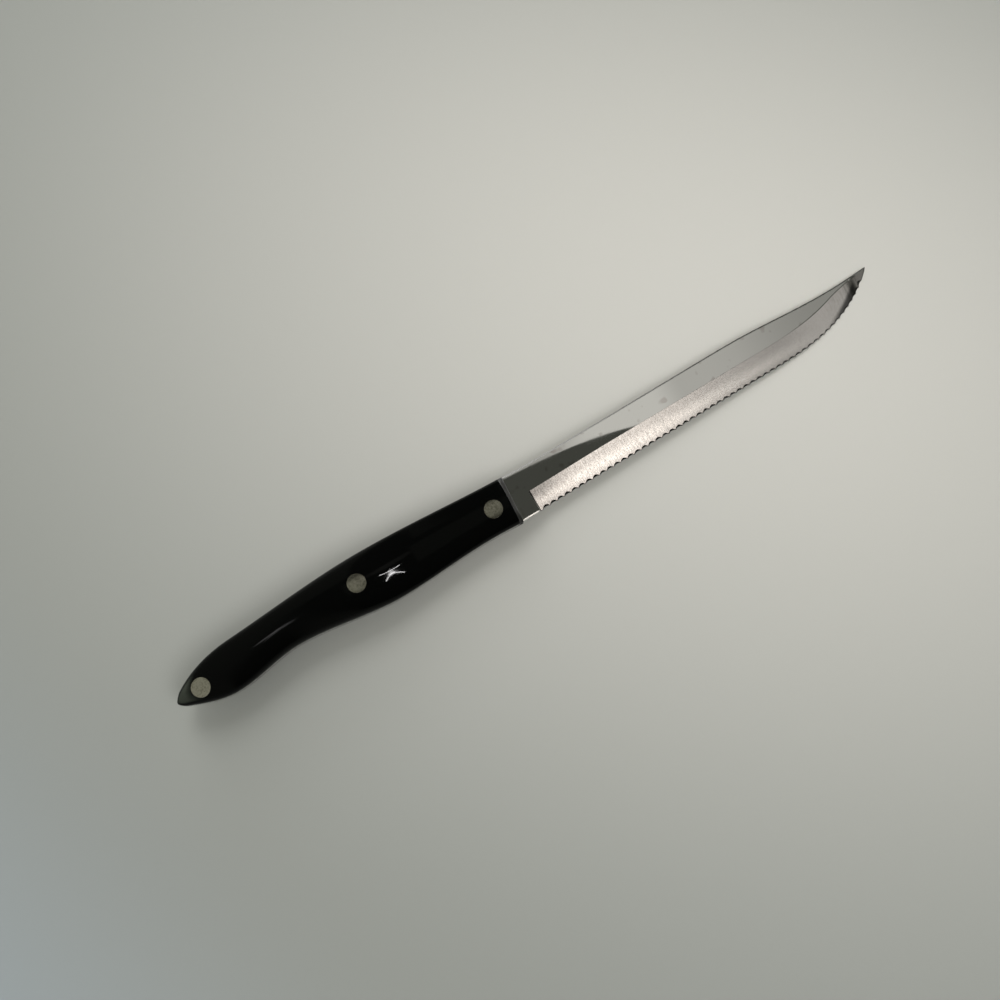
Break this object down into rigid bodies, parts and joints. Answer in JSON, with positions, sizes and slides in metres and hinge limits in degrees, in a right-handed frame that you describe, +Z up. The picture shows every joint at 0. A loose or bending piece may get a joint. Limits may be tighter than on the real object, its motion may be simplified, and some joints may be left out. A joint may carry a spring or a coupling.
{
  "type": "carving knife",
  "caption": "Narrow carving knife with an upswept point, a one-sided ground bevel with a scalloped edge, a full tang and black contoured handle scales held by flush rivets.",
  "frame": {"origin": "bottom centre of the bounding box, on the table that the knife lies on", "axes": "+X from the handle towards the point, +Y towards the spine, +Z up from the table, out of the right side"},
  "size_m": [0.2784, 0.02, 0.0161],
  "materials": {
    "steel": "mirror-polished flat with a satin bevel ground across the edge",
    "resin": "moulded black resin, polished to a high gloss",
    "nickel_silver": "nickel silver, sanded flush with the handle"
  },
  "bodies": {
    "root": {"blade": "steel", "right_scale": "resin", "left_scale": "resin", "front_rivet_male": "nickel_silver", "front_rivet_female": "nickel_silver", "middle_rivet_male": "nickel_silver", "middle_rivet_female": "nickel_silver", "rear_rivet_male": "nickel_silver", "rear_rivet_female": "nickel_silver"}
  },
  "joints": []
}
